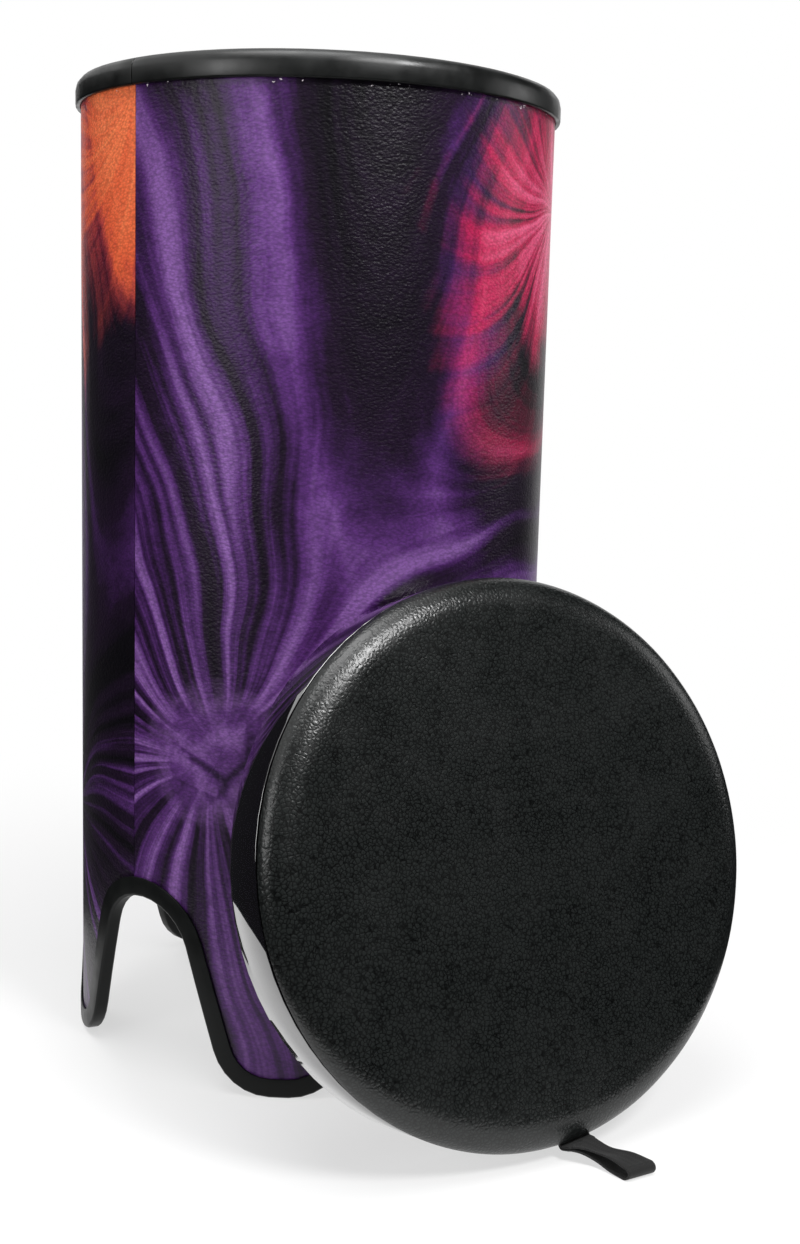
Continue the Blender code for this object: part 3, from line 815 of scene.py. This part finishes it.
def makeSkin(settings):
    deselectAll()
    profile = ringProfile(settings)
    bpy.ops.mesh.primitive_circle_add(vertices=settings["steps"], radius=profile[0][0], fill_type="TRIFAN",
                                      location=(0.0, 0.0, profile[0][1]))
    piece = bpy.context.active_object
    piece.name = "leatherSkin"
    bpy.ops.object.transform_apply(location=True)
    bpy.ops.object.mode_set(mode="EDIT")
    bpy.ops.mesh.select_mode(type="EDGE")
    for (radius, height), (nextRadius, nextHeight) in zip(profile, profile[1:]):
        selectRim(piece)
        bpy.ops.mesh.extrude_edges_move()
        bpy.ops.transform.resize(value=(nextRadius / radius, nextRadius / radius, 1.0),
                                 center_override=(0.0, 0.0, height))
        bpy.ops.transform.translate(value=(0.0, 0.0, nextHeight - height))
    bpy.ops.object.mode_set(mode="OBJECT")
    cloud = bpy.data.textures.new("skinRipple", "CLOUDS")
    cloud.noise_scale = settings["rippleScale"]
    ripple = piece.modifiers.new("ripple", "DISPLACE")
    ripple.texture = cloud
    ripple.strength = settings["ripple"]
    ripple.mid_level = 0.5
    wall = piece.modifiers.new("wall", "SOLIDIFY")
    wall.thickness = settings["wall"]
    wall.offset = -1.0
    applyModifiers(piece)
    piece.matrix_world = headPlace(head)
    finishPiece(piece, makeLeatherMaterial(settings), "head", ("drum_skin",), 40.0)


dressBand(band)
makeSkin(skin)
print("head ready")


# Pull strap: one length of webbing, folded into a loop, held under the head's edge

strap = {
    "turn": 6.7,
    "ply": 0.0011,
    "apart": 0.0007,  # from the middle of the two plies to either ply
    "tailRadius": 0.15455,
    "tail": -0.0080,
    "slot": 0.0018,
    "bend": 0.0017,
    "runRadius": 0.16285,
    "runEnd": 0.0085,
    "rootWidth": 0.0208,
    "mouthWidth": 0.0192,
    "levelRows": 8.0,  # over which the webbing comes level with the floor
    "edgeRound": 0.00025,
    "acrossSteps": 10,
    "smooth": 6,
    # Each stop of the loop: a place between the plies, the height of the upper and the
    # lower ply, the width, and how far the gathered webbing arches
    "stops": (
        ((0.02391, -0.19662), 0.01001, 0.00861, 0.0180, 0.0),
        ((0.02639, -0.20172), 0.01030, 0.00745, 0.0145, 0.0006),
        ((0.03088, -0.20862), 0.00930, 0.00419, 0.0118, 0.0014),
        ((0.03584, -0.21762), 0.00900, 0.00150, 0.0158, 0.0009),
        ((0.03941, -0.22662), 0.00740, 0.00085, 0.0190, 0.0002),
    ),
    "colour": (0.0030, 0.0030, 0.0030),
    # The paler colour is a painted highlight on the weave's raised ribs
    "ribHighlight": (0.0160, 0.0160, 0.0165),
    "rib": 0.0013,
    "weaveDepth": 0.00016,
    "roughness": 0.72,
    "specular": 0.30,
    "sheen": 0.12,
    "hinge": (0.023756, -0.196156, 0.010469),
}


def smoothRun(points, steps):
    # A Catmull-Rom run through the points, both ends included
    padded = [points[0] * 2.0 - points[1]] + points + [points[-1] * 2.0 - points[-2]]
    run = []
    for i in range(len(points) - 1):
        a, b, c, d = padded[i:i + 4]
        for k in range(steps):
            t = k / steps
            run.append(0.5 * (2.0 * b + (c - a) * t + (2.0 * a - 5.0 * b + 4.0 * c - d) * t * t
                              + (3.0 * b - a - 3.0 * c + d) * t ** 3))
    run.append(points[-1])
    return run


def rootRun(settings, side):
    # One ply from its tail behind the band, out past the bead and under the skin.
    # Each entry is a place in the head's own axes, turned to the strap.
    bend = settings["bend"]
    slot = settings["slot"]
    tail = settings["tailRadius"]
    run = settings["runRadius"]
    centres = [((tail, settings["tail"]), 0.0), ((tail, 0.5 * (settings["tail"] + slot - bend)), 0.0)]
    for i in range(5):
        angle = 0.125 * math.pi * i
        radius = tail + bend * (1.0 - math.cos(angle))
        centres.append(((radius, slot - bend * (1.0 - math.sin(angle))), angle))
    for i in range(5):
        angle = 0.125 * math.pi * i
        radius = run - bend * (1.0 - math.sin(angle))
        centres.append(((radius, slot + bend * (1.0 - math.cos(angle))), 0.5 * math.pi - angle))
    centres.append(((run, settings["runEnd"]), 0.0))
    ply = []
    for (radius, height), angle in centres:
        # angle 0 runs to the front, a right angle runs outwards
        offset = side * settings["apart"]
        ply.append(Vector((0.0, -(radius + offset * math.cos(angle)), height - offset * math.sin(angle))))
    return ply


def freePly(settings, points, shape, across, archShare):
    # The rows of one ply of the loop, from the head's slant at its edge to level with the floor
    level = Vector((1.0, 0.0, 0.0))
    rows = []
    for i, point in enumerate(points):
        side = across.lerp(level, min(1.0, i / settings["levelRows"])).normalized()
        rows.append((point, side, shape[i].x, archShare * shape[i].y))
    return rows


def strapPath(settings):
    # Upper ply out, round the fold, lower ply back: places, across directions, widths, arches
    seat = headPlace(head) @ Matrix.Rotation(math.radians(settings["turn"]), 4, "Z")
    across = (seat.to_3x3() @ Vector((1.0, 0.0, 0.0))).normalized()
    level = Vector((1.0, 0.0, 0.0))
    steps = settings["smooth"]
    stops = settings["stops"]
    upper = smoothRun([Vector((*place, high)) for place, high, low, width, arch in stops], steps)
    lower = smoothRun([Vector((*place, low)) for place, high, low, width, arch in stops], steps)
    shape = smoothRun([Vector((width, arch, 0.0)) for place, high, low, width, arch in stops], steps)
    heading = (upper[-1] - upper[-2])
    heading.z = 0.0
    heading.normalize()
    middle = 0.5 * (upper[-1] + lower[-1])
    radius = 0.5 * (upper[-1].z - lower[-1].z)
    fold = []
    for i in range(1, 12):
        angle = math.pi * i / 12
        point = middle + heading * radius * math.sin(angle) + Vector((0.0, 0.0, radius * math.cos(angle)))
        fold.append((point, level, shape[-1].x, 0.0))
    plies = []
    for side in (-1.0, 1.0):
        ply = [(seat @ point, across, settings["rootWidth"], 0.0) for point in rootRun(settings, side)]
        ply[-1] = (ply[-1][0], across, settings["mouthWidth"], 0.0)
        plies.append(ply)
    out = plies[0] + freePly(settings, upper, shape, across, 1.0)[1:]
    back = plies[1] + freePly(settings, lower, shape, across, -0.5)[1:]
    return out + fold + back[::-1]


def makeWebbingMaterial(settings):
    material, tree, shader = newMaterial("blackWebbing")
    place, across, along = pieceMap(tree, "strapMap")
    rib = settings["rib"]
    lean = mathNode(tree, "PINGPONG", across, 1.6 * rib)
    ribs = mathNode(tree, "SINE", times(tree, plus(tree, along, lean), 2.0 * math.pi / rib))
    warp = mathNode(tree, "SINE", times(tree, across, 2.0 * math.pi / (0.8 * rib)))
    weave = plus(tree, times(tree, ribs, 0.3), times(tree, warp, 0.2))
    fuzz = noiseNode(tree, place, 3000.0, 2.0)
    height = plus(tree, weave, times(tree, fuzz, 0.4))
    tree.links.new(bumpNode(tree, height, settings["weaveDepth"], 0.8), shader.inputs["Normal"])
    # The colour follows the weave's height: painted shade in its grooves and a painted highlight on its ribs,
    # with a fine random fuzz
    stops = [(0.05, settings["colour"]), (0.75, settings["ribHighlight"])]
    tree.links.new(rampNode(tree, height, stops), shader.inputs["Base Color"])
    shader.inputs["Roughness"].default_value = settings["roughness"]
    shader.inputs["Specular IOR Level"].default_value = settings["specular"]
    shader.inputs["Sheen Weight"].default_value = settings["sheen"]
    return material


def makeStrap(settings):
    path = strapPath(settings)
    steps = settings["acrossSteps"]
    mesh = bmesh.new()
    layer = mesh.loops.layers.uv.new("strapMap")
    rows = []
    run = 0.0
    for index, (point, side, width, arch) in enumerate(path):
        before = path[max(index - 1, 0)][0]
        after = path[min(index + 1, len(path) - 1)][0]
        run += (point - before).length
        up = side.cross(after - before).normalized()
        row = []
        for k in range(steps + 1):
            share = k / steps - 0.5
            lift = arch * (1.0 - 4.0 * share * share)
            row.append((mesh.verts.new(point + side * (width * share) + up * lift), width * share, run))
        rows.append(row)
    for near, far in zip(rows, rows[1:]):
        for k in range(steps):
            corners = (near[k], near[k + 1], far[k + 1], far[k])
            face = mesh.faces.new([corner[0] for corner in corners])
            for loop, corner in zip(face.loops, corners):
                loop[layer].uv = (corner[1], corner[2])
    data = bpy.data.meshes.new("pullStrap")
    mesh.to_mesh(data)
    mesh.free()
    piece = bpy.data.objects.new("pullStrap", data)
    bpy.context.scene.collection.objects.link(piece)
    wall = piece.modifiers.new("webThickness", "SOLIDIFY")
    wall.thickness = settings["ply"]
    wall.offset = 0.0
    rounding = piece.modifiers.new("webEdge", "BEVEL")
    rounding.width = settings["edgeRound"]
    rounding.segments = 2
    rounding.limit_method = "ANGLE"
    rounding.angle_limit = math.radians(60.0)
    applyModifiers(piece)
    finishPiece(piece, makeWebbingMaterial(settings), None, ("strap_root", "strap_loop"), 50.0)
    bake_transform(piece)


makeStrap(strap)
print("pull strap ready")


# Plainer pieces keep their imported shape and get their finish

finishes = {
    "board": {"colour": (0.028, 0.026, 0.026), "second": (0.045, 0.041, 0.038),
              "scale": 180.0, "roughness": 0.62, "specular": 0.5},
    "ply": {"colour": (0.44, 0.30, 0.17), "second": (0.56, 0.41, 0.26),
            "scale": 60.0, "roughness": 0.55, "specular": 0.5},
    "foam": {"colour": (0.022, 0.022, 0.022), "second": (0.036, 0.036, 0.036),
             "scale": 700.0, "roughness": 0.90, "specular": 0.5},
    # The bead's black is partly the cord's own colour and partly painted shade of the gap between band and
    # skin, so it has no gloss at all
    "bead": {"colour": (0.001, 0.001, 0.001), "second": (0.002, 0.002, 0.002),
             "scale": 300.0, "roughness": 0.80, "specular": 0.0},
}

steel = {
    "colour": (0.55, 0.55, 0.56),
    "scale": 900.0,
    "roughnessLow": 0.25,
    "roughnessHigh": 0.42,
}

# Each node's new name, finish, body and slot
plainPieces = {
    "shell_tube": ("tubeWall", "board", "shell", "tube_board"),
    "flesh_hoop": ("fleshHoop", "ply", "head", "hoop_ply"),
    "seat_ring": ("seatRing", "ply", "head", "hoop_ply"),
    "grip_liner": ("gripLiner", "foam", "head", "liner_foam"),
    "edge_bead": ("edgeBead", "bead", "head", "bead_black"),
}


def makePlainMaterial(name, settings):
    material, tree, shader = newMaterial(name)
    place = objectPlace(tree)
    cloud = noiseNode(tree, place, settings["scale"], 4.0, 0.6)
    stops = [(0.3, settings["colour"]), (0.7, settings["second"])]
    tree.links.new(rampNode(tree, cloud, stops), shader.inputs["Base Color"])
    tree.links.new(bumpNode(tree, cloud, 0.0001, 0.5), shader.inputs["Normal"])
    shader.inputs["Roughness"].default_value = settings["roughness"]
    shader.inputs["Specular IOR Level"].default_value = settings["specular"]
    return material


def makeSteelMaterial(settings):
    material, tree, shader = newMaterial("tackSteel")
    cloud = noiseNode(tree, objectPlace(tree), settings["scale"], 2.0)
    worn = smoothStep(tree, cloud, 0.3, 0.7, settings["roughnessLow"], settings["roughnessHigh"])
    tree.links.new(worn, shader.inputs["Roughness"])
    shader.inputs["Base Color"].default_value = (*settings["colour"], 1.0)
    shader.inputs["Metallic"].default_value = 1.0
    return material


def dressPlain():
    made = {name: makePlainMaterial(name + "Finish", settings) for name, settings in finishes.items()}
    for nodeName, (pieceName, finish, body, slot) in plainPieces.items():
        piece = copyNode(nodeName, pieceName)
        finishPiece(piece, made[finish], body, (nodeName,))
    bright = makeSteelMaterial(steel)
    for number in (1, 2):
        piece = copyNode(f"strap_tack_{number}", f"strapTack{number}")
        finishPiece(piece, bright, "head", (f"strap_tack_{number}",))


dressPlain()
print("plain pieces ready")

bpy.context.view_layer.update()
